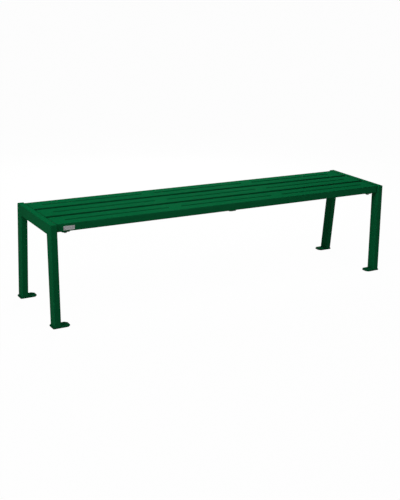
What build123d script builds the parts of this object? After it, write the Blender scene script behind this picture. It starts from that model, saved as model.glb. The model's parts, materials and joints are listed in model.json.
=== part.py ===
from build123d import *

import os
from math import asin, atan, cos, degrees

# A backless street bench in painted steel: two splayed tube frames, three folded seat slats, and the
# flat bars, brackets and bolts that hold them together. Millimetres. +X runs along the seat, +Y from the
# front to the rear and +Z up. The origin is on the floor, under the middle of the seat.

# Overall
bench_length = 1800          # over the outer faces of the two end frames
seat_height = 450            # top of the end frames above the floor
frame_depth = 400            # front to rear across the top of an end frame
leg_splay = 25               # how far each leg leans out by the time it reaches the floor

# Rectangular tube of the end frames
tube_width = 30              # along X
tube_depth = 50              # in the plane of the frame
tube_wall = 2
tube_corner = 4              # outside corner radius

# Foot plates
plate_thickness = 6
plate_length = 80            # along X
plate_overhang = 6           # past the outer face of the leg
plate_inner_cut = 12         # corners cut off the end with the anchor hole
plate_outer_cut = 4
plate_edge_break = 0.6
anchor_hole_diameter = 12
anchor_hole_inset = 23       # from the inner end of the plate

# Folded sheet slats
slat_pitch = 134
slat_width = 114
slat_depth = 34.5            # top face to the underside of the return lips
slat_drop = 2                # top face of the slats below the top of the frames
slat_end_gap = 1             # between a slat and the crossbar that it butts against
sheet_thickness = 2
sheet_bend = 4               # outside bend radius
lip_width = 28               # return lips along the bottom of both flanges

# Pressed rib along the middle of a slat
rib_length = 500
rib_pitch = 560
rib_width = 12
rib_depth = 5
rib_draft = 35               # lean of the rib's walls from the vertical, in degrees
rib_lip_round = 2            # rounding of the rib's upper edge
rib_floor_round = 1.5
rib_underside_round = 2.5

# Flat bars across the underside of the seat
bar_width = 35               # along X
bar_thickness = 5
bar_length = 366             # along Y
bar_corner = 3
bar_inset = 45               # end bars' centre lines from the crossbars' inner faces
bolt_offset = 38             # bolts each side of a slat's middle

# Angle brackets that carry the end bars
bracket_width = 50
bracket_height = 32
bracket_reach = 62
bracket_thickness = 4

# Welds
weld_leg = 4
weld_crown_ratio = 0.6        # how far the bead's face stands off its root, against its leg
foot_weld_length = 44
corner_weld_length = 22
bracket_weld_leg = 3
bracket_weld_height = 16

# Fasteners: M8 hexagon bolts at the ends, M6 button-head screws at the middle bar
m8_diameter = 8
m8_hole = 9
m8_across = 13
m8_head = 5.3
m8_nut = 6.5
m8_washer_diameter = 16
m8_slat_bolt_length = 16
m8_bracket_bolt_length = 20
m6_diameter = 6
m6_hole = 6.6
m6_button_diameter = 10.5
m6_button_height = 3.3
m6_button_round = 2.6
m6_socket_across = 4
m6_socket_depth = 2
m6_across = 10
m6_nut = 5
m6_washer_diameter = 12
m6_screw_length = 16
washer_thickness = 1.6
washer_play = 0.4
hex_face_ratio = 0.97        # turned circle on the face of a head or nut, against its width across flats
hex_turn_angle = 60          # of that turned edge, from the axis
thread_clearance = 0.05      # between a plain shank and the plain bore of its nut
tip_chamfer = 1

# Maker's plate
badge_length = 50
badge_height = 18
badge_thickness = 1
badge_corner = 2
badge_from_slat_end = 54.5   # end of the slat to the middle of the plate
badge_above_lip = 15         # underside of the lips to the middle of the plate
badge_rivet_pitch = 42
rivet_diameter = 3
rivet_hole = 3.2
rivet_head_diameter = 5
rivet_head_height = 0.9
rivet_tail_diameter = 4
rivet_tail_length = 2

cut_margin = 1               # how far a cut runs past its material

# Worked out from the above
lean_slope = leg_splay / seat_height
lean_angle = atan(lean_slope)
frame_x = bench_length / 2 - tube_width / 2          # middle of an end frame
crossbar_face_x = bench_length / 2 - tube_width      # inner face of an end frame
foot_y = frame_depth / 2 + leg_splay - tube_depth / 2
slat_top = seat_height - slat_drop
slat_bottom = slat_top - slat_depth
slat_length = 2 * (crossbar_face_x - slat_end_gap)
lip_top = slat_bottom + sheet_thickness
bar_bottom = slat_bottom - bar_thickness
end_bar_x = crossbar_face_x - bar_inset
bracket_bottom = bar_bottom - bracket_thickness
bracket_top = bracket_bottom + bracket_height
front_face_y = -slat_pitch - slat_width / 2
badge_x = badge_from_slat_end - slat_length / 2
badge_z = slat_bottom + badge_above_lip

sides = {"left": -1, "right": 1}
ends = {"front": -1, "rear": 1}
slat_rows = {"front_slat": -slat_pitch, "middle_slat": 0, "rear_slat": slat_pitch}
bolt_rows = [y + offset for y in slat_rows.values() for offset in (-bolt_offset, bolt_offset)]


def leg_y(z, across):
    """Y of a point in a rear leg at height z, measured across the tube from its outer face."""
    return frame_depth / 2 + (seat_height - z) * lean_slope - across / cos(lean_angle)


def frame_block(x, inset, base):
    """An end frame as one solid, its outline seen along X, with its sides moved in by inset."""
    top = seat_height - inset
    soffit = seat_height - tube_depth + inset
    rear_half = [
        (leg_y(top, inset), top),
        (leg_y(base, inset), base),
        (leg_y(base, tube_depth - inset), base),
        (leg_y(soffit, tube_depth - inset), soffit),
    ]
    front_half = [(-y, z) for y, z in reversed(rear_half)]
    with BuildPart() as block:
        with BuildSketch(Plane.YZ.offset(x)):
            with BuildLine():
                Polyline(*rear_half, *front_half, close=True)
            make_face()
        extrude(amount=tube_width / 2 - inset, both=True)
        outline_edges = block.faces().filter_by(Axis.X).edges()
        corner_edges = block.edges().filter_by(Axis.X).group_by(Axis.Z)[-1]
        round_edges = [edge for edge in outline_edges + corner_edges if edge.center().Z > base + tube_corner]
        fillet(round_edges, tube_corner - inset)
    return block.part


def hollow_frame(x):
    """An end frame before it is cut along its mitres."""
    with BuildPart() as frame:
        add(frame_block(x, 0, plate_thickness))
        add(frame_block(x, tube_wall, plate_thickness - cut_margin), mode=Mode.SUBTRACT)
    return frame.part


def mitre_plane(end):
    """The cut between the crossbar and a leg, with its normal towards the leg."""
    soffit = seat_height - tube_depth
    run = frame_depth / 2 - leg_y(soffit, tube_depth)
    return Plane((0, end * frame_depth / 2, seat_height), x_dir=(1, 0, 0), z_dir=(0, end * tube_depth, -run))


def finish(builder, name):
    """Label a finished piece and write it out."""
    builder.part.label = name
    export_step(builder.part, f"parts/{name}.step")


def end_frame(side_name, side):
    """Crossbar and two legs of one end frame, as three mitred tubes."""
    frame = hollow_frame(side * frame_x)
    with BuildPart() as crossbar:
        add(frame)
        for end in ends.values():
            split(bisect_by=mitre_plane(end), keep=Keep.BOTTOM)
    finish(crossbar, f"{side_name}_crossbar")
    for end_name, end in ends.items():
        with BuildPart() as leg:
            add(frame)
            split(bisect_by=Plane((0, 0, 0), z_dir=(0, end, 0)), keep=Keep.TOP)
            split(bisect_by=mitre_plane(end), keep=Keep.TOP)
        finish(leg, f"{side_name}_{end_name}_leg")


def foot_plate(side_name, side, end_name, end):
    """Flat plate under a leg, reaching inwards past the leg to a hole for a floor anchor."""
    inner_end = bench_length / 2 + plate_overhang - plate_length
    middle_x = side * (inner_end + plate_length / 2)
    hole_x = side * (inner_end + anchor_hole_inset)
    with BuildPart() as plate:
        with BuildSketch() as outline:
            with Locations((middle_x, end * foot_y)):
                Rectangle(plate_length, tube_depth)
            corners = outline.vertices().sort_by(lambda corner: abs(corner.X))
            chamfer(corners[:2], plate_inner_cut)
            chamfer(corners[2:], plate_outer_cut)
        extrude(amount=plate_thickness)
        chamfer(plate.faces().sort_by(Axis.Z)[-1].edges(), plate_edge_break)
        with Locations((hole_x, end * foot_y, plate_thickness)):
            Hole(anchor_hole_diameter / 2)
    finish(plate, f"{side_name}_{end_name}_foot_plate")


def weld_bead(root, first, second, leg, length):
    """Fillet weld centred on root, filling the angle between faces that run along first and second."""
    crown = weld_crown_ratio * leg
    with BuildPart() as bead:
        with BuildSketch(Plane(root, x_dir=first, z_dir=first.cross(second))):
            with BuildLine():
                Line((0, 0), (leg, 0))
                ThreePointArc((leg, 0), (crown, crown), (0, leg))
                Line((0, leg), (0, 0))
            make_face()
        extrude(amount=length / 2, both=True)
    return bead.part


def foot_welds(side_name, side):
    """Beads between the legs of one end frame and their foot plates, on both faces of each leg."""
    inner_face = side * crossbar_face_x
    outer_face = side * bench_length / 2
    weld_y = leg_y(plate_thickness, tube_depth / 2)
    up = Vector(0, 0, 1)
    with BuildPart() as welds:
        for end in ends.values():
            inner_root = Vector(inner_face, end * weld_y, plate_thickness)
            outer_root = Vector(outer_face, end * weld_y, plate_thickness)
            add(weld_bead(inner_root, Vector(-side, 0, 0), up, weld_leg, foot_weld_length))
            add(weld_bead(outer_root, Vector(side, 0, 0), up, weld_leg, foot_weld_length))
    finish(welds, f"{side_name}_foot_welds")


def corner_welds(side_name, side):
    """Beads in the two inside corners under a crossbar."""
    soffit = seat_height - tube_depth
    with BuildPart() as welds:
        for end in ends.values():
            root = Vector(side * frame_x, end * leg_y(soffit, tube_depth), soffit)
            inwards = Vector(0, -end, 0)
            down = Vector(0, 0, -1)
            add(weld_bead(root, inwards, down, weld_leg, corner_weld_length))
    finish(welds, f"{side_name}_corner_welds")


def slat(name, middle_y, carries_badge):
    """Folded sheet slat: a flat top with pressed ribs, two flanges, and return lips bolted to the bars."""
    half = slat_width / 2
    lip_edge = half - lip_width
    section = [
        (middle_y - lip_edge, slat_bottom),
        (middle_y - half, slat_bottom),
        (middle_y - half, slat_top),
        (middle_y + half, slat_top),
        (middle_y + half, slat_bottom),
        (middle_y + lip_edge, slat_bottom),
    ]
    rib_centres = [(offset, middle_y) for offset in (-rib_pitch, 0, rib_pitch)]
    m8_holes = [(x, middle_y + y) for x in (-end_bar_x, end_bar_x) for y in (-bolt_offset, bolt_offset)]
    m6_holes = [(0, middle_y + y) for y in (-bolt_offset, bolt_offset)]
    with BuildPart() as sheet:
        with BuildSketch(Plane.YZ.offset(-slat_length / 2)):
            with BuildLine():
                FilletPolyline(*section, radius=sheet_bend)
                offset(amount=sheet_thickness, side=Side.RIGHT)
            make_face()
        extrude(amount=slat_length)
        with BuildSketch(Plane.XY.offset(slat_top - sheet_thickness)):
            with Locations(*rib_centres):
                SlotOverall(rib_length + sheet_thickness, rib_width + sheet_thickness)
        extrude(amount=-rib_depth, taper=rib_draft)
        with BuildSketch(Plane.XY.offset(slat_top)):
            with Locations(*rib_centres):
                SlotOverall(rib_length, rib_width)
        extrude(amount=-rib_depth, taper=rib_draft, mode=Mode.SUBTRACT)
        rib_edges = sheet.edges().filter_by(lambda edge: abs(edge.center().Y - middle_y) < rib_width)
        floor_z = slat_top - rib_depth
        underside_z = floor_z - sheet_thickness
        fillet(rib_edges.filter_by_position(Axis.Z, slat_top, slat_top), rib_lip_round)
        fillet(rib_edges.filter_by_position(Axis.Z, floor_z, floor_z), rib_floor_round)
        fillet(rib_edges.filter_by_position(Axis.Z, underside_z, underside_z), rib_underside_round)
        with Locations(Plane.XY.offset(lip_top + cut_margin)):
            with Locations(*m8_holes):
                Hole(m8_hole / 2, depth=sheet_thickness + 2 * cut_margin)
            with Locations(*m6_holes):
                Hole(m6_hole / 2, depth=sheet_thickness + 2 * cut_margin)
        if carries_badge:
            with Locations(*badge_rivet_planes()):
                Hole(rivet_hole / 2, depth=sheet_thickness + cut_margin)
    finish(sheet, name)


def badge_rivet_planes():
    """Planes at the two badge rivets, on the front flange's face, with their normals to the front."""
    spots = [badge_x - badge_rivet_pitch / 2, badge_x + badge_rivet_pitch / 2]
    return [Plane((x, front_face_y, badge_z), x_dir=(1, 0, 0), z_dir=(0, -1, 0)) for x in spots]


def crossmember(name, x, hole_diameter, carried_by_brackets):
    """Flat bar under the slats, drilled for a bolt in each lip and, at the ends, for the brackets."""
    hole_rows = bolt_rows + ([-slat_pitch, slat_pitch] if carried_by_brackets else [])
    with BuildPart() as bar:
        with BuildSketch(Plane.XY.offset(bar_bottom)):
            with Locations((x, 0)):
                RectangleRounded(bar_width, bar_length, bar_corner)
            with Locations(*[(x, y) for y in hole_rows]):
                Circle(hole_diameter / 2, mode=Mode.SUBTRACT)
        extrude(amount=bar_thickness)
    finish(bar, name)


def bracket(side_name, side, end_name, end):
    """Bent plate welded to a crossbar's inner face, inside the hollow of a slat, to carry an end bar."""
    face = side * crossbar_face_x
    reach = side * (crossbar_face_x - bracket_reach)
    riser = side * (crossbar_face_x - bracket_thickness)
    shelf = bracket_bottom + bracket_thickness
    section = [
        (face, bracket_top),
        (face, bracket_bottom),
        (reach, bracket_bottom),
        (reach, shelf),
        (riser, shelf),
        (riser, bracket_top),
    ]
    with BuildPart() as angle:
        with BuildSketch(Plane.XZ.offset(-end * slat_pitch)):
            with BuildLine():
                Polyline(*section, close=True)
            make_face()
        extrude(amount=bracket_width / 2, both=True)
        bend_edges = angle.edges().filter_by(Axis.Y)
        fillet(bend_edges.sort_by_distance((riser, end * slat_pitch, shelf))[0], bracket_thickness)
        bend_edges = angle.edges().filter_by(Axis.Y)
        outer_bend = bend_edges.sort_by_distance((face, end * slat_pitch, bracket_bottom))[0]
        fillet(outer_bend, 2 * bracket_thickness)
        with Locations((side * end_bar_x, end * slat_pitch, shelf + cut_margin)):
            Hole(m8_hole / 2, depth=bracket_thickness + 2 * cut_margin)
    finish(angle, f"{side_name}_{end_name}_bracket")


def bracket_welds(side_name, side):
    """Beads along the top and both sides of the brackets on one crossbar."""
    inwards = Vector(-side, 0, 0)
    up = Vector(0, 0, 1)
    side_z = bracket_top - bracket_weld_height / 2
    with BuildPart() as welds:
        for end in ends.values():
            top_root = Vector(side * crossbar_face_x, end * slat_pitch, bracket_top)
            add(weld_bead(top_root, inwards, up, bracket_weld_leg, bracket_width))
            for flank in (-1, 1):
                flank_y = end * slat_pitch + flank * bracket_width / 2
                root = Vector(side * crossbar_face_x, flank_y, side_z)
                add(weld_bead(root, inwards, Vector(0, flank, 0), bracket_weld_leg, bracket_weld_height))
    finish(welds, f"{side_name}_bracket_welds")


def hex_prism(across, height, bore):
    """Hexagon resting on z = 0, with the corners of its upper face turned off, and a bore if one is given."""
    with BuildPart() as prism:
        with BuildSketch():
            RegularPolygon(across / 2, side_count=6, major_radius=False)
        extrude(amount=height)
        with BuildSketch(Plane.XY.offset(height)):
            Circle(across / 2 * hex_face_ratio)
        extrude(amount=-height, taper=-hex_turn_angle, mode=Mode.INTERSECT)
        if bore:
            Hole(bore / 2)
    return prism.part


def hex_bolt(length):
    """M8 bolt with the underside of its head on z = 0, and its shank rising from there."""
    with BuildPart() as bolt:
        add(hex_prism(m8_across, m8_head, 0), rotation=(180, 0, 0))
        with BuildSketch():
            Circle(m8_diameter / 2)
        extrude(amount=length)
        chamfer(bolt.faces().sort_by(Axis.Z)[-1].edges(), tip_chamfer)
    return bolt.part


def button_screw(length):
    """M6 button-head screw with the underside of its head on z = 0, and its shank rising from there."""
    with BuildPart() as screw:
        with BuildSketch():
            Circle(m6_button_diameter / 2)
        extrude(amount=-m6_button_height)
        fillet(screw.faces().sort_by(Axis.Z)[0].edges(), m6_button_round)
        with BuildSketch(Plane.XY.offset(-m6_button_height)):
            RegularPolygon(m6_socket_across / 2, side_count=6, major_radius=False)
        extrude(amount=m6_socket_depth, mode=Mode.SUBTRACT)
        with BuildSketch():
            Circle(m6_diameter / 2)
        extrude(amount=length)
        chamfer(screw.faces().sort_by(Axis.Z)[-1].edges(), tip_chamfer)
    return screw.part


def washer(diameter, hole):
    """Plain washer resting on z = 0."""
    with BuildPart() as ring:
        with BuildSketch():
            Circle(diameter / 2)
            Circle(hole / 2, mode=Mode.SUBTRACT)
        extrude(amount=washer_thickness)
    return ring.part


def rivet():
    """Dome-head rivet with the underside of its head on z = 0, its head above and its tail below."""
    rim = rivet_head_diameter / 2
    dome_radius = (rim**2 + rivet_head_height**2) / (2 * rivet_head_height)
    dome_angle = degrees(asin(rim / dome_radius))
    grip = badge_thickness + sheet_thickness
    with BuildPart() as pin:
        with BuildSketch(Plane.XZ):
            with BuildLine():
                CenterArc((0, rivet_head_height - dome_radius), dome_radius, 90 - dome_angle, dome_angle)
                Polyline((0, rivet_head_height), (0, 0), (rim, 0))
            make_face()
        revolve(axis=Axis.Z)
        with BuildSketch():
            Circle(rivet_diameter / 2)
        extrude(amount=-grip)
        with BuildSketch(Plane.XY.offset(-grip)):
            Circle(rivet_tail_diameter / 2)
        extrude(amount=-rivet_tail_length)
    return pin.part


def fastener_group(name, piece, spots):
    """Copies of one fastener at every spot, as one node."""
    with BuildPart() as group:
        with Locations(*spots):
            add(piece)
    finish(group, name)


def at_height(spots, z):
    """Points in plan, raised to one height."""
    return [(x, y, z) for x, y in spots]


def fasteners():
    """Bolts, washers and nuts of the end bars, the brackets and the middle bar."""
    end_spots = [(x, y) for x in (-end_bar_x, end_bar_x) for y in bolt_rows]
    bracket_spots = [(x, y) for x in (-end_bar_x, end_bar_x) for y in (-slat_pitch, slat_pitch)]
    middle_spots = [(0, y) for y in bolt_rows]
    bracket_bolt = hex_bolt(m8_bracket_bolt_length)
    m8_washer = washer(m8_washer_diameter, m8_diameter + washer_play)
    m8_hex_nut = hex_prism(m8_across, m8_nut, m8_diameter + 2 * thread_clearance)
    m6_washer = washer(m6_washer_diameter, m6_diameter + washer_play)
    m6_hex_nut = hex_prism(m6_across, m6_nut, m6_diameter + 2 * thread_clearance)
    lip_nut_z = lip_top + washer_thickness
    bar_nut_z = slat_bottom + washer_thickness
    fastener_group("end_bar_bolts", hex_bolt(m8_slat_bolt_length), at_height(end_spots, bar_bottom))
    fastener_group("end_bar_washers", m8_washer, at_height(end_spots, lip_top))
    fastener_group("end_bar_nuts", m8_hex_nut, at_height(end_spots, lip_nut_z))
    fastener_group("bracket_bolts", bracket_bolt, at_height(bracket_spots, bracket_bottom))
    fastener_group("bracket_washers", m8_washer, at_height(bracket_spots, slat_bottom))
    fastener_group("bracket_nuts", m8_hex_nut, at_height(bracket_spots, bar_nut_z))
    fastener_group("middle_bar_screws", button_screw(m6_screw_length), at_height(middle_spots, bar_bottom))
    fastener_group("middle_bar_washers", m6_washer, at_height(middle_spots, lip_top))
    fastener_group("middle_bar_nuts", m6_hex_nut, at_height(middle_spots, lip_nut_z))


def maker_badge():
    """Small blank plate riveted to the front slat, and its rivets."""
    hole_offsets = [(-badge_rivet_pitch / 2, 0), (badge_rivet_pitch / 2, 0)]
    face = Plane((badge_x, front_face_y, badge_z), x_dir=(1, 0, 0), z_dir=(0, -1, 0))
    with BuildPart() as plate:
        with BuildSketch(face):
            RectangleRounded(badge_length, badge_height, badge_corner)
            with Locations(*hole_offsets):
                Circle(rivet_hole / 2, mode=Mode.SUBTRACT)
        extrude(amount=badge_thickness)
    finish(plate, "maker_plate")
    with BuildPart() as rivets:
        for plane in badge_rivet_planes():
            with Locations(plane.offset(badge_thickness)):
                add(rivet())
    finish(rivets, "maker_plate_rivets")


os.makedirs("parts", exist_ok=True)

for side_name, side in sides.items():
    end_frame(side_name, side)
    foot_welds(side_name, side)
    corner_welds(side_name, side)
    bracket_welds(side_name, side)
    for end_name, end in ends.items():
        foot_plate(side_name, side, end_name, end)
        bracket(side_name, side, end_name, end)

for slat_name, slat_y in slat_rows.items():
    slat(slat_name, slat_y, carries_badge=slat_name == "front_slat")

crossmember("left_crossmember", -end_bar_x, m8_hole, carried_by_brackets=True)
crossmember("middle_crossmember", 0, m6_hole, carried_by_brackets=False)
crossmember("right_crossmember", end_bar_x, m8_hole, carried_by_brackets=True)
fasteners()
maker_badge()
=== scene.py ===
import json
import math
import random

import bmesh
import bpy
from mathutils import Matrix, Vector


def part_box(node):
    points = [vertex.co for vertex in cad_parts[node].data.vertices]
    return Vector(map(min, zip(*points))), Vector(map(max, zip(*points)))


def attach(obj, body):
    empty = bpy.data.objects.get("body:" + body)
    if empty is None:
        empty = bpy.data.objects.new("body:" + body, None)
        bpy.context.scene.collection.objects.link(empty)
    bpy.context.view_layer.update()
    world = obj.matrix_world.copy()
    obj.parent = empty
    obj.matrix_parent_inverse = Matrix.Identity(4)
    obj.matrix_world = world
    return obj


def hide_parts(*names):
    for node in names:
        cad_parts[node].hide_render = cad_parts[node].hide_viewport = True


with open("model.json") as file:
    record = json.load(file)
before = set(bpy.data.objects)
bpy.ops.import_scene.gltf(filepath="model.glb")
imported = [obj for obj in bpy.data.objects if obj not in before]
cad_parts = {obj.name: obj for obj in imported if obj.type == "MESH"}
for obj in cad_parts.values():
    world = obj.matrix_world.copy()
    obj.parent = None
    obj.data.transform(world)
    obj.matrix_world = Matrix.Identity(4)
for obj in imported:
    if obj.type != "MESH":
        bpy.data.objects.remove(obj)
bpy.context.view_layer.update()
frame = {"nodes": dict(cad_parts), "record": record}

MM = 0.001

# Camera: where it stands, and how it is turned (heading clockwise from +Y, seen from above)
CAMERA_PLACE = Vector((-2.14998, -3.45751, 1.46272))
CAMERA_HEADING = 0.5589
CAMERA_TILT_DOWN = 0.3201
CAMERA_ROLL = 0.0384
CAMERA_LENS = 62.863
CAMERA_SENSOR = 36
CAMERA_SHIFT = (-0.0248, 0.0206)


def make_camera():
    data = bpy.data.cameras.new("camera")
    data.lens = CAMERA_LENS
    data.sensor_width = CAMERA_SENSOR
    data.shift_x, data.shift_y = CAMERA_SHIFT
    camera = bpy.data.objects.new("camera", data)
    bpy.context.scene.collection.objects.link(camera)
    turn = Matrix.Rotation(-CAMERA_HEADING, 4, "Z")
    tilt = Matrix.Rotation(math.radians(90) - CAMERA_TILT_DOWN, 4, "X")
    roll = Matrix.Rotation(CAMERA_ROLL, 4, "Z")
    camera.matrix_world = Matrix.Translation(CAMERA_PLACE) @ turn @ tilt @ roll
    bpy.context.scene.camera = camera


# Node trees

def add_node(tree, kind, inputs=None, **settings):
    """A new node, with its settings and the default values of its inputs."""
    made = tree.nodes.new(kind)
    for name, value in settings.items():
        setattr(made, name, value)
    for name, value in (inputs or {}).items():
        made.inputs[name].default_value = value
    return made


def start_material(name):
    """A material with a Principled shader, and its texture space in the frame's own metres."""
    material = bpy.data.materials.new(name)
    material.use_nodes = True
    tree = material.node_tree
    shader = tree.nodes["Principled BSDF"]
    place = add_node(tree, "ShaderNodeTexCoord").outputs["Object"]
    return material, tree, shader, place


def noise(tree, place, size, detail=2.0, roughness=0.5, stretch=(1, 1, 1)):
    """Noise whose lumps are about size metres across, longer along an axis with a stretch above 1."""
    mapping = add_node(tree, "ShaderNodeMapping")
    mapping.inputs["Scale"].default_value = [1 / (size * s) for s in stretch]
    tree.links.new(place, mapping.inputs["Vector"])
    settings = {"Scale": 1.0, "Detail": detail, "Roughness": roughness}
    texture = add_node(tree, "ShaderNodeTexNoise", settings)
    tree.links.new(mapping.outputs["Vector"], texture.inputs["Vector"])
    return texture.outputs["Fac"]


def remap(tree, value, low, high, start=0.25, end=0.75):
    """value from start to end, turned into low to high."""
    settings = {"From Min": start, "From Max": end, "To Min": low, "To Max": high}
    made = add_node(tree, "ShaderNodeMapRange", settings)
    tree.links.new(value, made.inputs["Value"])
    return made.outputs["Result"]


def combine(tree, operation, result, *others):
    """result combined with each of the others in turn."""
    for other in others:
        made = add_node(tree, "ShaderNodeMath", operation=operation)
        tree.links.new(result, made.inputs[0])
        tree.links.new(other, made.inputs[1])
        result = made.outputs["Value"]
    return result


def blend_colours(tree, factor, a, b):
    """Colour a where factor is 0 and b where it is 1. Each is a colour or an output."""
    made = add_node(tree, "ShaderNodeMix", data_type="RGBA")
    tree.links.new(factor, made.inputs["Factor"])
    for socket, colour in ((made.inputs[6], a), (made.inputs[7], b)):
        if isinstance(colour, tuple):
            socket.default_value = (*colour, 1)
        else:
            tree.links.new(colour, socket)
    return made.outputs[2]


def bump(tree, height, distance, strength=1.0, before=None):
    """Bump from height, whose full range is distance metres deep, on top of an earlier bump."""
    made = add_node(tree, "ShaderNodeBump", {"Distance": distance, "Strength": strength})
    tree.links.new(height, made.inputs["Height"])
    if before:
        tree.links.new(before, made.inputs["Normal"])
    return made.outputs["Normal"]


def split(tree, vector):
    made = add_node(tree, "ShaderNodeSeparateXYZ")
    tree.links.new(vector, made.inputs[0])
    return made.outputs


def rounded_normal(tree, radius):
    """The surface's normal, rounded over within radius of its edges."""
    return add_node(tree, "ShaderNodeBevel", {"Radius": radius}, samples=6).outputs["Normal"]


def distance_from(tree, value, middle):
    """How far value is from middle."""
    offset = add_node(tree, "ShaderNodeMath", operation="SUBTRACT")
    tree.links.new(value, offset.inputs[0])
    offset.inputs[1].default_value = middle
    size = add_node(tree, "ShaderNodeMath", operation="ABSOLUTE")
    tree.links.new(offset.outputs[0], size.inputs[0])
    return size.outputs[0]


def edge_mask(tree, rounded, start, end):
    """0 on flat surfaces, rising to 1 where the rounded normal leans away from the true one."""
    normal = add_node(tree, "ShaderNodeNewGeometry").outputs["Normal"]
    dot = add_node(tree, "ShaderNodeVectorMath", operation="DOT_PRODUCT")
    tree.links.new(rounded, dot.inputs[0])
    tree.links.new(normal, dot.inputs[1])
    return remap(tree, dot.outputs["Value"], 0, 1, start=1 - start, end=1 - end)


# Materials

COAT_DARK = (0.0007, 0.139, 0.0425)
COAT_LIGHT = (0.0012, 0.171, 0.0525)
# Painted shade: the coat darkened on what faces up below the slats' tops, between the slats and in corners
COAT_PAINTED_SHADE = (0.0012, 0.070, 0.0235)
# Near-black painted shade for the seams between the slats' ends and the crossbars
COAT_SEAM_SHADE = (0.004, 0.014, 0.006)
COAT_WORN = (0.030, 0.290, 0.130)
COAT_EDGE = 0.8 * MM           # how far from an edge the coat is rounded over and rubbed
PEEL_SIZE = 1.8 * MM
PEEL_DEPTH = 0.08 * MM
GRAIN_SIZE = 0.5 * MM
GRAIN_DEPTH = 0.02 * MM
WAVE_SIZE = 60 * MM
WAVE_DEPTH = 0.15 * MM
DRIFT_SIZE = 180 * MM          # slow changes of shade and gloss
SMEAR_SIZE = 9 * MM            # patches in the painted shade and in the wear

# Where shade is painted: on what faces up below the slats' tops, between the slats, in corners, and in the
# seams at the slats' ends
SLAT_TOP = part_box("middle_slat")[1][2]
SLAT_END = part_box("middle_slat")[1][0]
SEAT_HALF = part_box("rear_slat")[1][1]
PAINTED_SHADE_TOP = SLAT_TOP - 0.2 * MM
PAINTED_SHADE_FADE = 1.6 * MM          # depth below that over which the painted shade comes to its full strength
GAP_PAINTED_SHADE = 0.95               # strength of the painted shade between the slats, against that below the tops
GAP_MIDDLE = (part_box("middle_slat")[1][1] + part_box("rear_slat")[0][1]) / 2
GAP_HALF = (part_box("rear_slat")[0][1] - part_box("middle_slat")[1][1]) / 2
GAP_FADE = 3 * MM              # how far it reaches past the gap, onto the slats
CORNER_PAINTED_SHADE = 0.9
CORNER_REACH = 14 * MM         # how near the walls of a corner are, for painted shade to darken it
SEAM_MIDDLE = (SLAT_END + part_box("right_crossbar")[0][0]) / 2
SEAM_HALF = 2.2 * MM           # how far the painted shade in the seam reaches to either side
SEAM_TOP = SLAT_TOP + 0.8 * MM
SEAM_BOTTOM = SEAM_TOP - 10 * MM
SEAM_FADE = 0.4 * MM
SEAM_END_FADE = 3 * MM         # at the front and the rear of the seat
SEAM_BOTTOM_FADE = 4 * MM

ZINC_DARK = (0.34, 0.35, 0.36)
ZINC_LIGHT = (0.56, 0.55, 0.53)
ZINC_STAIN = (0.20, 0.17, 0.14)
ZINC_RUBBED = (0.68, 0.68, 0.67)
ZINC_EDGE = 0.3 * MM
PLATE_DARK = (0.88, 0.88, 0.89)
PLATE_LIGHT = (1.0, 1.0, 1.0)
PLATE_GROUND = (0.85, 0.85, 0.87)
PLATE_EDGE = 0.2 * MM
BRUSHING_SIZE = 0.25 * MM
BRUSHING_STRETCH = (60, 1, 1)


def painted_shade_mask(tree, place, smear):
    """1 where shade is painted: on what faces up below the slats' tops, between the slats, and in corners.
    """
    normal = add_node(tree, "ShaderNodeNewGeometry").outputs["Normal"]
    facing_up = remap(tree, split(tree, normal)["Z"], 0, 1, start=0.2, end=0.6)
    x, y, z = split(tree, place)
    low = remap(tree, z, 0, 1, start=PAINTED_SHADE_TOP, end=PAINTED_SHADE_TOP - PAINTED_SHADE_FADE)
    below_tops_shade = combine(tree, "MULTIPLY", facing_up, low)
    from_gap = distance_from(tree, distance_from(tree, y, 0), GAP_MIDDLE)
    between = remap(tree, from_gap, 0, GAP_PAINTED_SHADE, start=GAP_HALF + GAP_FADE, end=GAP_HALF)
    inside = remap(tree, distance_from(tree, x, 0), 0, 1, start=SLAT_END + 1 * MM, end=SLAT_END)
    gap_shade = combine(tree, "MULTIPLY", between, inside)
    painted_shade = combine(tree, "MAXIMUM", below_tops_shade, gap_shade)
    # Painted shade in corners, from how shut in the surface is
    corner = add_node(tree, "ShaderNodeAmbientOcclusion", {"Distance": CORNER_REACH}, samples=8)
    corner_shade = remap(tree, corner.outputs["AO"], CORNER_PAINTED_SHADE, 0, start=0.5, end=0.8)
    painted_shade = combine(tree, "MAXIMUM", painted_shade, corner_shade)
    return combine(tree, "MULTIPLY", painted_shade, remap(tree, smear, 0.75, 1.0))


def seam_shade_mask(tree, place, smear):
    """1 where shade is painted into the seams between the slats' ends and the crossbars."""
    x, y, z = split(tree, place)
    from_seam = distance_from(tree, distance_from(tree, x, 0), SEAM_MIDDLE)
    beside = remap(tree, from_seam, 1, 0, start=SEAM_HALF - SEAM_FADE, end=SEAM_HALF)
    along = remap(tree, distance_from(tree, y, 0), 1, 0, start=SEAT_HALF, end=SEAT_HALF + SEAM_END_FADE)
    below = remap(tree, z, 1, 0, start=SEAM_TOP - SEAM_FADE, end=SEAM_TOP)
    above = remap(tree, z, 0, 1, start=SEAM_BOTTOM, end=SEAM_BOTTOM + SEAM_BOTTOM_FADE)
    return combine(tree, "MULTIPLY", beside, along, below, above, remap(tree, smear, 0.8, 1.0))


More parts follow.
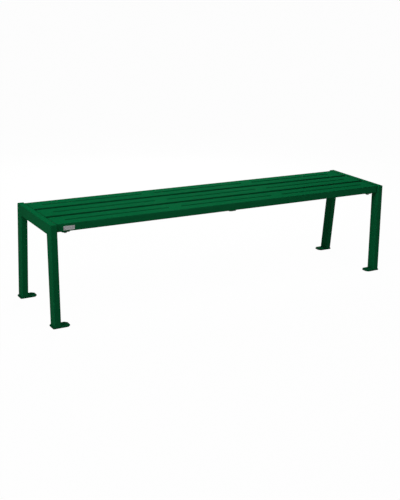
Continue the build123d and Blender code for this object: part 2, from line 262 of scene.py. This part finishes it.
def powder_coat():
    """Satin polyester powder coat: orange peel, a fine grain, slow drifts of shade and gloss, painted
    shade below the slats' tops, between the slats, in corners and in the seams, and edges where the coat
    has pulled thin and been rubbed."""
    material, tree, shader, place = start_material("bench_coat")
    drift = noise(tree, place, DRIFT_SIZE, detail=3)
    grain = noise(tree, place, GRAIN_SIZE, detail=2)
    peel = noise(tree, place, PEEL_SIZE, detail=2, roughness=0.6)
    wave = noise(tree, place, WAVE_SIZE, detail=1, stretch=(3, 1, 1))
    smear = noise(tree, place, SMEAR_SIZE, detail=4, roughness=0.65)
    shade = combine(tree, "MULTIPLY", remap(tree, drift, 0.55, 1.05), remap(tree, grain, 0.9, 1.05))
    clean = blend_colours(tree, shade, COAT_DARK, COAT_LIGHT)
    # Painted shade on what faces up below the slats' tops, between the slats and in corners
    with_painted_shade = blend_colours(tree, painted_shade_mask(tree, place, smear), clean, COAT_PAINTED_SHADE)
    # Painted shade in the seams between the slats' ends and the crossbars
    with_seam_shade = blend_colours(tree, seam_shade_mask(tree, place, smear), with_painted_shade, COAT_SEAM_SHADE)

    rounded = rounded_normal(tree, COAT_EDGE)
    rubbed = combine(tree, "MULTIPLY", edge_mask(tree, rounded, 0.02, 0.15), remap(tree, smear, 0.1, 1.0))
    tree.links.new(blend_colours(tree, rubbed, with_seam_shade, COAT_WORN), shader.inputs["Base Color"])

    gloss = combine(tree, "SUBTRACT", remap(tree, drift, 0.8, 0.7), remap(tree, rubbed, 0, 0.2, 0, 1))
    tree.links.new(gloss, shader.inputs["Roughness"])
    shader.inputs["Specular IOR Level"].default_value = 0.12
    sheet = bump(tree, wave, WAVE_DEPTH, 0.5, before=rounded)
    coarse = bump(tree, peel, PEEL_DEPTH, 0.8, before=sheet)
    fine = bump(tree, grain, GRAIN_DEPTH, 0.6, before=coarse)
    tree.links.new(fine, shader.inputs["Normal"])
    return material


def zinc_plate():
    """Dull zinc plating: faint blotches, tumbling marks, edges rubbed bright and thin stains."""
    material, tree, shader, place = start_material("bench_zinc")
    blotch = noise(tree, place, 4 * MM, detail=4)
    marks = noise(tree, place, 0.6 * MM, detail=3)
    stain = noise(tree, place, 2.5 * MM, detail=5, roughness=0.7)
    plated = blend_colours(tree, remap(tree, blotch, 0, 1), ZINC_DARK, ZINC_LIGHT)
    stained = blend_colours(tree, remap(tree, stain, 0, 0.7, 0.55, 0.75), plated, ZINC_STAIN)
    rounded = rounded_normal(tree, ZINC_EDGE)
    rubbed = edge_mask(tree, rounded, 0.03, 0.25)
    tree.links.new(blend_colours(tree, rubbed, stained, ZINC_RUBBED), shader.inputs["Base Color"])
    shader.inputs["Metallic"].default_value = 0.8
    gloss = combine(tree, "SUBTRACT", remap(tree, blotch, 0.34, 0.52), remap(tree, rubbed, 0, 0.1, 0, 1))
    tree.links.new(gloss, shader.inputs["Roughness"])
    tree.links.new(bump(tree, marks, 0.01 * MM, 0.6, before=rounded), shader.inputs["Normal"])
    return material


def brushed_aluminium(name, dark, light, metallic, polish, ground_y=None):
    """Clear-anodised aluminium, brushed along the seat. Behind ground_y it is etched darker."""
    material, tree, shader, place = start_material(name)
    brushing = noise(tree, place, BRUSHING_SIZE, detail=3, stretch=BRUSHING_STRETCH)
    cloud = noise(tree, place, 7 * MM, detail=3)
    streaks = combine(tree, "MULTIPLY", remap(tree, brushing, 0, 1), remap(tree, cloud, 0.7, 1))
    colour = blend_colours(tree, streaks, dark, light)
    if ground_y is not None:
        etched = remap(tree, split(tree, place)["Y"], 0, 1, start=ground_y - 0.1 * MM, end=ground_y)
        colour = blend_colours(tree, etched, colour, PLATE_GROUND)
    tree.links.new(colour, shader.inputs["Base Color"])
    shader.inputs["Metallic"].default_value = metallic
    tree.links.new(remap(tree, brushing, 0.55 - polish, 0.65 - polish), shader.inputs["Roughness"])
    rounded = rounded_normal(tree, PLATE_EDGE)
    tree.links.new(bump(tree, brushing, 0.006 * MM, 0.5, before=rounded), shader.inputs["Normal"])
    return material


# Pieces built from rings of points

def skin(bm, rings, closed=False):
    """A skin over rings of points, from the last back to the first or else capped at both ends."""
    made = [[bm.verts.new(point) for point in ring] for ring in rings]
    pairs = list(zip(made, made[1:]))
    if closed:
        pairs.append((made[-1], made[0]))
    else:
        bm.faces.new(made[0])
        bm.faces.new(made[-1])
    count = len(rings[0])
    for near, far in pairs:
        for i in range(count):
            j = (i + 1) % count
            bm.faces.new((near[i], near[j], far[j], far[i]))


def solids(node):
    """The lowest and highest corner of each separate solid of a CAD node, in order of place."""
    bm = bmesh.new()
    bm.from_mesh(frame["nodes"][node].data)
    bmesh.ops.remove_doubles(bm, verts=bm.verts, dist=0.005 * MM)
    waiting = set(bm.verts)
    boxes = []
    while waiting:
        found = [waiting.pop()]
        for vert in found:
            for edge in vert.link_edges:
                other = edge.other_vert(vert)
                if other in waiting:
                    waiting.remove(other)
                    found.append(other)
        spans = [(min(v.co[axis] for v in found), max(v.co[axis] for v in found)) for axis in range(3)]
        boxes.append((Vector(low for low, high in spans), Vector(high for low, high in spans)))
    bm.free()
    return sorted(boxes, key=lambda box: [round(value, 5) for value in (*box[0], *box[1])])


def finish_piece(bm, name, material, nodes, crease=35):
    """One piece from bm, in place of the CAD nodes, smooth but for edges sharper than crease degrees."""
    bmesh.ops.recalc_face_normals(bm, faces=bm.faces)
    mesh = bpy.data.meshes.new(name)
    bm.to_mesh(mesh)
    bm.free()
    mesh.materials.append(material)
    mesh.shade_smooth()
    mesh.set_sharp_from_angle(angle=math.radians(crease))
    piece = bpy.data.objects.new(name, mesh)
    bpy.context.scene.collection.objects.link(piece)
    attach(piece, "root")
    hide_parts(*nodes)


# Weld beads

BEAD_BURIED = 0.3 * MM         # how far the root sits inside the steel
BEAD_BULGE = 0.15              # how much nearer than its leg the middle of the face is to the root
BEAD_STEP = 0.4 * MM
RIPPLE_PITCH = 1.7 * MM
RIPPLE_HEIGHT = 0.45 * MM
RIPPLE_BOW = 1.3 * MM          # how far the middle of each ripple runs ahead of its ends
BEAD_FACE_STEPS = 10
BRACKET_LEG = 3 * MM           # legs of the beads on the brackets
BRACKET_RISE = 16 * MM         # how far down a bracket's flanks their beads reach
SIDES = {-1: "left", 1: "right"}
ENDS = ("front", "rear")


def weld_bead(bm, box, run, first, second, rng):
    """Rippled fillet weld that fills box and runs along axis run. first and second are the axes of
    its two legs with the way that each leg goes from the root, as (axis, 1 or -1)."""
    low, high = box
    length = high[run] - low[run]
    leg = high[first[0]] - low[first[0]]
    root = low.copy()
    for axis, way in (first, second):
        root[axis] = (low if way > 0 else high)[axis]
    along = Vector([float(axis == run) for axis in range(3)])
    legs = [Vector([float(way) if axis == own else 0.0 for axis in range(3)])
            for own, way in (first, second)]
    steps = round(length / BEAD_STEP)
    phase = rng.random()
    rings = []
    for step in range(steps + 1):
        place = length * step / steps
        phase += length / steps / RIPPLE_PITCH * rng.uniform(0.7, 1.3)
        from_end = min(place, length - place)
        run_out = min(from_end / leg, 1)
        size = leg * math.sqrt(max(1 - (1 - run_out) ** 2, 0.04))
        start = root + along * place
        ring = [start - (legs[0] + legs[1]) * BEAD_BURIED]
        for face_step in range(BEAD_FACE_STEPS + 1):
            turn = math.pi / 2 * face_step / BEAD_FACE_STEPS
            across = math.sin(2 * turn)
            ripple = abs(math.sin(math.pi * (phase - across * RIPPLE_BOW / RIPPLE_PITCH)))
            lift = RIPPLE_HEIGHT * (ripple - 1) * math.sqrt(max(across, 0)) * run_out
            radius = size * (1 - BEAD_BULGE * across) + lift
            ring.append(start + (legs[0] * math.cos(turn) + legs[1] * math.sin(turn)) * radius)
        rings.append(ring)
    skin(bm, rings)


def foot_beads(side):
    """Beads along both faces of each leg, on top of the foot plates."""
    name = SIDES[side]
    low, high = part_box(f"{name}_front_leg")
    for box in solids(f"{name}_foot_welds"):
        way = 1 if box[0].x + box[1].x > low[0] + high[0] else -1
        yield box, 1, (0, way), (2, 1)


def corner_beads(side):
    """Beads under the crossbar, across the inner face of each leg."""
    for box in solids(f"{SIDES[side]}_corner_welds"):
        yield box, 0, (1, -1 if box[0].y > 0 else 1), (2, -1)


def bracket_beads(side):
    """Beads between the crossbar and the brackets: one along each top edge and one up each flank."""
    for end in ENDS:
        low, high = [Vector(corner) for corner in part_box(f"{SIDES[side]}_{end}_bracket")]
        wall = high.x if side > 0 else low.x
        near, far = sorted((wall, wall - side * BRACKET_LEG))
        top = Vector((near, low.y, high.z)), Vector((far, high.y, high.z + BRACKET_LEG))
        yield top, 1, (0, -side), (2, 1)
        for way, edge in ((-1, low.y), (1, high.y)):
            inner, outer = sorted((edge, edge + way * BRACKET_LEG))
            flank = Vector((near, inner, high.z - BRACKET_RISE)), Vector((far, outer, high.z))
            yield flank, 2, (0, -side), (1, way)


def make_welds(coat):
    rng = random.Random(11)
    for side, side_name in SIDES.items():
        for kind, beads in (("foot", foot_beads), ("corner", corner_beads), ("bracket", bracket_beads)):
            bm = bmesh.new()
            for box, run, first, second in beads(side):
                weld_bead(bm, box, run, first, second, rng)
            name = f"{side_name}_{kind}_beads"
            finish_piece(bm, name, coat, [f"{side_name}_{kind}_welds"], crease=60)


# Fasteners

TURN_STEPS = 36
DOME_STEPS = 8
M8_HEAD = 5.3 * MM
M8_RADIUS = 4 * MM
M8_PITCH = 1.25 * MM
M8_NECK = 0.3 * MM             # fillet under the head
M8_PLAIN = 0.8 * MM            # from the head to the thread
M6_HEAD = 3.3 * MM
M6_RADIUS = 3 * MM
M6_PITCH = 1.0 * MM
M6_NECK = 0.25 * MM
M6_PLAIN = 0.7 * MM
M6_RIM = 0.5 * MM              # height of the straight edge of the domed head
M6_SOCKET_ACROSS = 4 * MM
M6_SOCKET_DEPTH = 2 * MM
M6_SOCKET_FLARE = 0.3 * MM
M6_SOCKET_MOUTH = 0.62         # radii of the socket's mouth and of the flat round it, against
M6_SOCKET_FLAT = 0.7           # the socket's width
TIP_LENGTH = 0.9 * MM          # plain end past the thread
TIP_DROP = 0.3 * MM            # height and width of the end's bevel
TIP_IN = 0.5 * MM
THREAD_DEPTH_RATIO = 0.61      # depth of the thread against its pitch
THREAD_STEPS = 6               # rings in one pitch
HEX_FACE_RATIO = 0.95          # turned circle on a head's face, against its width across flats
HEX_TURN = math.radians(30)    # slope of that turned edge from the face
HEX_EDGE_STEPS = 6
DISH_DEPTH = 0.25 * MM         # shallow dish in a hexagon head's face
DISH_RADII = (0.72, 0.8)       # its floor and its rim, against half the width across flats
BEARING_HEIGHT = 0.3 * MM      # round ring under a hexagon head
BEARING_RADII = (0.93, 0.92)   # where it leaves the head and where it bears, as for the dish
NUT_MOUTH = 0.35 * MM          # how much wider than the bolt a nut's mouth is
NUT_SINK = 0.4 * MM
NUT_PLAY = 0.05 * MM


def ring_at(centre, height, radius):
    """Ring round a vertical axis, with a radius that is a number or a function of the angle."""
    points = []
    for step in range(TURN_STEPS):
        angle = 2 * math.pi * step / TURN_STEPS
        out = radius(angle) if callable(radius) else radius
        points.append(Vector((centre.x + out * math.cos(angle), centre.y + out * math.sin(angle), height)))
    return points


def hexagon(across, limit):
    """Radius, by angle, of a hexagon whose corners are turned down to a circle."""
    def radius(angle):
        from_flat = (angle + math.pi / 6) % (math.pi / 3) - math.pi / 6
        return min(across / 2 / math.cos(from_flat), limit)
    return radius


def hexagon_edge(across, face_z, way):
    """Heights and radii from a hexagon's face to its full corners. way is 1 if the body is above."""
    face_radius = across / 2 * HEX_FACE_RATIO
    rise = (across / math.sqrt(3) - face_radius) * math.tan(HEX_TURN)
    levels = []
    for step in range(HEX_EDGE_STEPS + 1):
        up = rise * step / HEX_EDGE_STEPS
        levels.append((face_z + way * up, hexagon(across, face_radius + up / math.tan(HEX_TURN))))
    return levels


def thread(start, end, crest, pitch, runout_start, runout_end):
    """Heights and radii up a thread, which fades out over a pitch at the ends that are marked."""
    depth = THREAD_DEPTH_RATIO * pitch
    steps = round((end - start) / pitch * THREAD_STEPS)
    levels = []
    for step in range(steps + 1):
        height = start + (end - start) * step / steps
        fade = 1.0
        if runout_start:
            fade = min(fade, (height - start) / pitch)
        if runout_end:
            fade = min(fade, (end - height) / pitch)

        def radius(angle, height=height, fade=fade):
            turn = (height / pitch - angle / (2 * math.pi)) % 1
            return crest - depth * fade * abs(2 * turn - 1)
        levels.append((height, radius))
    return levels


def tip(end, crest, pitch):
    """The plain turned-down end above a thread."""
    root = crest - THREAD_DEPTH_RATIO * pitch
    return [(end - TIP_DROP, root), (end, root - TIP_IN)]


def add_turned(bm, centre, levels, closed=False):
    skin(bm, [ring_at(centre, height, radius) for height, radius in levels], closed)


def hex_bolt(bm, box):
    """M8 bolt with its head down: turned corners, a bearing ring under the head, and a full thread."""
    low, high = box
    half = min(high.x - low.x, high.y - low.y) / 2
    seat = low.z + M8_HEAD
    levels = [(low.z + DISH_DEPTH, half * DISH_RADII[0]), (low.z, half * DISH_RADII[1])]
    levels += hexagon_edge(2 * half, low.z, 1)
    levels += [(seat - BEARING_HEIGHT, hexagon(2 * half, 2 * half)),
               (seat - BEARING_HEIGHT, half * BEARING_RADII[0]), (seat, half * BEARING_RADII[1]),
               (seat, M8_RADIUS + M8_NECK), (seat + M8_NECK, M8_RADIUS)]
    levels += thread(seat + M8_PLAIN, high.z - TIP_LENGTH, M8_RADIUS, M8_PITCH, True, False)
    add_turned(bm, (low + high) / 2, levels + tip(high.z, M8_RADIUS, M8_PITCH))


def button_screw(bm, box):
    """M6 screw with its domed head down, an open hexagon socket, and a full thread."""
    low, high = box
    seat = low.z + M6_HEAD
    head = (high.x - low.x) / 2
    socket = hexagon(M6_SOCKET_ACROSS, M6_SOCKET_ACROSS)
    levels = [(low.z + M6_SOCKET_DEPTH, socket), (low.z + M6_SOCKET_FLARE, socket),
              (low.z, M6_SOCKET_ACROSS * M6_SOCKET_MOUTH)]
    flat = M6_SOCKET_ACROSS * M6_SOCKET_FLAT
    for step in range(DOME_STEPS + 1):
        turn = math.pi / 2 * step / DOME_STEPS
        levels.append((low.z + (M6_HEAD - M6_RIM) * (1 - math.cos(turn)),
                       flat + (head - flat) * math.sin(turn)))
    levels += [(seat - 0.1 * MM, head), (seat, head - 0.1 * MM)]
    levels += [(seat, M6_RADIUS + M6_NECK), (seat + M6_NECK, M6_RADIUS)]
    levels += thread(seat + M6_PLAIN, high.z - TIP_LENGTH, M6_RADIUS, M6_PITCH, True, False)
    add_turned(bm, (low + high) / 2, levels + tip(high.z, M6_RADIUS, M6_PITCH))


def hex_nut(crest, pitch):
    """Builder of a nut on a bolt with this crest and pitch: turned corners and a threaded bore."""
    def nut(bm, box):
        low, high = box
        across = min(high.x - low.x, high.y - low.y)
        mouth = crest + NUT_MOUTH
        levels = [(low.z, mouth)] + hexagon_edge(across, low.z, 1)
        levels += list(reversed(hexagon_edge(across, high.z, -1))) + [(high.z, mouth)]
        bore = thread(low.z + NUT_SINK, high.z - NUT_SINK, crest + NUT_PLAY, pitch, True, True)
        add_turned(bm, (low + high) / 2, levels + list(reversed(bore)), closed=True)
    return nut


def make_fasteners(zinc):
    m8_nut = hex_nut(M8_RADIUS, M8_PITCH)
    m6_nut = hex_nut(M6_RADIUS, M6_PITCH)
    for node, name, build in (("end_bar_bolts", "end_bar_hex_bolts", hex_bolt),
                              ("bracket_bolts", "bracket_hex_bolts", hex_bolt),
                              ("middle_bar_screws", "middle_bar_button_screws", button_screw),
                              ("end_bar_nuts", "end_bar_hex_nuts", m8_nut),
                              ("bracket_nuts", "bracket_hex_nuts", m8_nut),
                              ("middle_bar_nuts", "middle_bar_hex_nuts", m6_nut)):
        bm = bmesh.new()
        for box in solids(node):
            build(bm, box)
        finish_piece(bm, name, zinc, [node])


# Maker's plate

PLATE_CORNER = 2 * MM
PLATE_BEVEL = 0.2 * MM
PLATE_RIM = 1.0 * MM
PLATE_ETCH = 0.3 * MM          # how far the ground lies below the rim
PLATE_SLOPE = 0.15 * MM        # width of the wall from the rim down to the ground
BAR_CORNER = 0.6 * MM
BAR_BEVEL = 0.1 * MM
# Places from the plate's middle, then widths and heights
PLATE_BARS = ((0, 2.6 * MM, 28 * MM, 4.2 * MM), (0, -3.6 * MM, 20 * MM, 2.2 * MM))
BURIED = 0.1 * MM              # how far the bars and the rivets reach into the ground
RIVET_HEAD = 0.9 * MM
RIVET_EDGE = 0.15 * MM         # height of the straight edge of the domed head
RIVET_FOOT = 0.96              # radius where the head meets the ground, against the head's
RIVET_CROWN = 0.8              # below 1, the dome is fuller than a sphere
RIVET_BODY = 0.6               # radii of the body and of the set tail, against the head's
RIVET_TAIL = 0.8
TAIL_EDGE = 0.4 * MM
TAIL_LENGTH = 2 * MM
CORNER_STEPS = 6


def outline(middle, width, height, corner, y):
    """Rounded rectangle that faces the front, at depth y."""
    points = []
    for quarter, (right, up) in enumerate(((1, 1), (-1, 1), (-1, -1), (1, -1))):
        for step in range(CORNER_STEPS + 1):
            angle = math.pi / 2 * (quarter + step / CORNER_STEPS)
            x = middle.x + right * (width / 2 - corner) + corner * math.cos(angle)
            z = middle.z + up * (height / 2 - corner) + corner * math.sin(angle)
            points.append(Vector((x, y, z)))
    return points


def add_rivet_part(bm, spot, profile):
    """Round part along Y at spot, from the depths and radii of its profile."""
    rings = []
    for y, out in profile:
        angles = [2 * math.pi * step / TURN_STEPS for step in range(TURN_STEPS)]
        rings.append([Vector((spot.x + out * math.cos(angle), y, spot.z + out * math.sin(angle)))
                      for angle in angles])
    skin(bm, rings)


def make_maker_plate(plate_metal, rivet_metal):
    """Blank plate: a bright rim round an etched ground, two plain raised bars, and two rivets."""
    low, high = [Vector(corner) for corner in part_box("maker_plate")]
    middle = (low + high) / 2
    width, height = high.x - low.x, high.z - low.z
    front, back = low.y, high.y
    ground = front + PLATE_ETCH
    bm = bmesh.new()
    levels = ((0, back), (0, front + PLATE_BEVEL), (PLATE_BEVEL, front), (PLATE_RIM, front),
              (PLATE_RIM + PLATE_SLOPE, ground))
    skin(bm, [outline(middle, width - 2 * inset, height - 2 * inset, PLATE_CORNER - inset * 0.7, y)
              for inset, y in levels])
    bar_levels = ((0, ground + BURIED), (0, front + BAR_BEVEL), (BAR_BEVEL, front))
    for x, z, bar_width, bar_height in PLATE_BARS:
        spot = middle + Vector((x, 0, z))
        skin(bm, [outline(spot, bar_width - 2 * inset, bar_height - 2 * inset, BAR_CORNER, y)
                  for inset, y in bar_levels])
    finish_piece(bm, "maker_badge", plate_metal, ["maker_plate"])

    bm = bmesh.new()
    edge = front - RIVET_EDGE
    for low, high in solids("maker_plate_rivets"):
        spot = (low + high) / 2
        radius = (high.x - low.x) / 2
        dome = [(ground + BURIED, radius * RIVET_FOOT), (edge, radius)]
        for step in range(1, DOME_STEPS):
            turn = math.pi / 2 * step / DOME_STEPS
            dome.append((edge - (RIVET_HEAD - RIVET_EDGE) * math.sin(turn),
                         radius * math.cos(turn) ** RIVET_CROWN))
        add_rivet_part(bm, spot, dome)
        body, tail = radius * RIVET_BODY, radius * RIVET_TAIL
        add_rivet_part(bm, spot, [(high.y, tail), (high.y - TAIL_EDGE, tail),
                                  (high.y - TAIL_LENGTH, body), (ground + 2 * BURIED, body)])
    finish_piece(bm, "maker_badge_rivets", rivet_metal, ["maker_plate_rivets"])


# Stage

FLOOR_SIZE = 120
FLOOR_GLOW = 0.98
FLOOR_COLOUR = (0.02, 0.02, 0.02)
SKY_STRENGTH = 0.018
BELOW_STRENGTH = 0.18
LIGHTS_AIM = Vector((0, 0, 0.4))
LIGHTS = (
    # name, azimuth and elevation in degrees, distance and size in metres, watts, seen in reflections
    ("left_high", -62, 50, 3.6, 1.8, 19.5, False),
    ("left_low", -80, 25, 3.6, 1.8, 25.5, False),
    ("left_near", -45, 62, 1.4, 0.7, 2.5, False),
    ("front_near", 0, 62, 1.2, 0.7, 0.85, False),
    ("front_left", -30, 20, 3.6, 1.8, 1.6, False),
    ("front_low", 30, 6, 3.6, 1.8, 10.7, True),
    ("rear_right", 150, 25, 3.6, 1.8, 27.5, False),
    ("rear_middle", 159, 23, 2.8, 1.4, 51.5, False),
)


def make_floor():
    """Plain white floor that takes a faint shadow and can be seen through from below."""
    mesh = bpy.data.meshes.new("floor")
    half = FLOOR_SIZE / 2
    corners = [(-half, -half, 0), (half, -half, 0), (half, half, 0), (-half, half, 0)]
    mesh.from_pydata(corners, [], [(0, 1, 2, 3)])
    floor = bpy.data.objects.new("floor", mesh)
    bpy.context.scene.collection.objects.link(floor)
    material = bpy.data.materials.new("floor")
    material.use_nodes = True
    tree = material.node_tree
    shader = tree.nodes["Principled BSDF"]
    shader.inputs["Base Color"].default_value = (*FLOOR_COLOUR, 1)
    shader.inputs["Roughness"].default_value = 1
    shader.inputs["Specular IOR Level"].default_value = 0
    shader.inputs["Emission Color"].default_value = (1, 1, 1, 1)
    shader.inputs["Emission Strength"].default_value = FLOOR_GLOW
    underside = add_node(tree, "ShaderNodeNewGeometry").outputs["Backfacing"]
    clear = add_node(tree, "ShaderNodeBsdfTransparent")
    mix = add_node(tree, "ShaderNodeMixShader")
    tree.links.new(underside, mix.inputs[0])
    tree.links.new(shader.outputs[0], mix.inputs[1])
    tree.links.new(clear.outputs[0], mix.inputs[2])
    tree.links.new(mix.outputs[0], tree.nodes["Material Output"].inputs["Surface"])
    mesh.materials.append(material)
    floor.visible_diffuse = False
    floor.visible_glossy = False


def make_world():
    """White to the camera. For everything else, a soft glow from the floor and little from above."""
    world = bpy.data.worlds.new("studio")
    bpy.context.scene.world = world
    world.use_nodes = True
    tree = world.node_tree
    glow = tree.nodes["Background"]
    glow.inputs["Color"].default_value = (1, 1, 1, 1)
    direction = add_node(tree, "ShaderNodeTexCoord").outputs["Generated"]
    up = split(tree, direction)["Z"]
    strength = remap(tree, up, BELOW_STRENGTH, SKY_STRENGTH, start=-0.05, end=0.05)
    tree.links.new(strength, glow.inputs["Strength"])
    white = add_node(tree, "ShaderNodeBackground", {"Color": (1, 1, 1, 1), "Strength": 1.0})
    seen = add_node(tree, "ShaderNodeLightPath").outputs["Is Camera Ray"]
    mix = add_node(tree, "ShaderNodeMixShader")
    tree.links.new(seen, mix.inputs[0])
    tree.links.new(glow.outputs[0], mix.inputs[1])
    tree.links.new(white.outputs[0], mix.inputs[2])
    tree.links.new(mix.outputs[0], tree.nodes["World Output"].inputs["Surface"])


def make_light(name, azimuth, elevation, distance, size, power, glossy):
    """Soft box turned towards the bench. Azimuth 0 is in front, 90 is past the right end."""
    turn, rise = math.radians(azimuth), math.radians(elevation)
    flat = distance * math.cos(rise)
    place = LIGHTS_AIM + Vector((flat * math.sin(turn), -flat * math.cos(turn), distance * math.sin(rise)))
    data = bpy.data.lights.new(name, "AREA")
    data.shape = "SQUARE"
    data.size = size
    data.energy = power
    light = bpy.data.objects.new(name, data)
    bpy.context.scene.collection.objects.link(light)
    facing = (LIGHTS_AIM - place).to_track_quat("-Z", "Y").to_matrix().to_4x4()
    light.matrix_world = Matrix.Translation(place) @ facing
    light.visible_camera = False
    light.visible_glossy = glossy


bpy.context.scene.view_settings.view_transform = "Standard"
make_camera()
make_floor()
make_world()
for light_facts in LIGHTS:
    make_light(*light_facts)

coat = powder_coat()
zinc = zinc_plate()
plate_ground_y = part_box("maker_plate")[0][1] + PLATE_ETCH
plate_metal = brushed_aluminium("bench_plate", PLATE_DARK, PLATE_LIGHT, metallic=0.1, polish=0.15,
                                ground_y=plate_ground_y)
rivet_metal = brushed_aluminium("bench_rivet", PLATE_LIGHT, PLATE_LIGHT, metallic=0.5, polish=0.4)
finishes = {"green_powder_coat": coat, "zinc_plated_steel": zinc, "satin_aluminium": rivet_metal}
for subpart in frame["record"]["subparts"]:
    mesh = frame["nodes"][subpart["node"]].data
    mesh.materials.clear()
    mesh.materials.append(finishes[subpart["material_slot"]])
make_welds(coat)
make_fasteners(zinc)
make_maker_plate(plate_metal, rivet_metal)
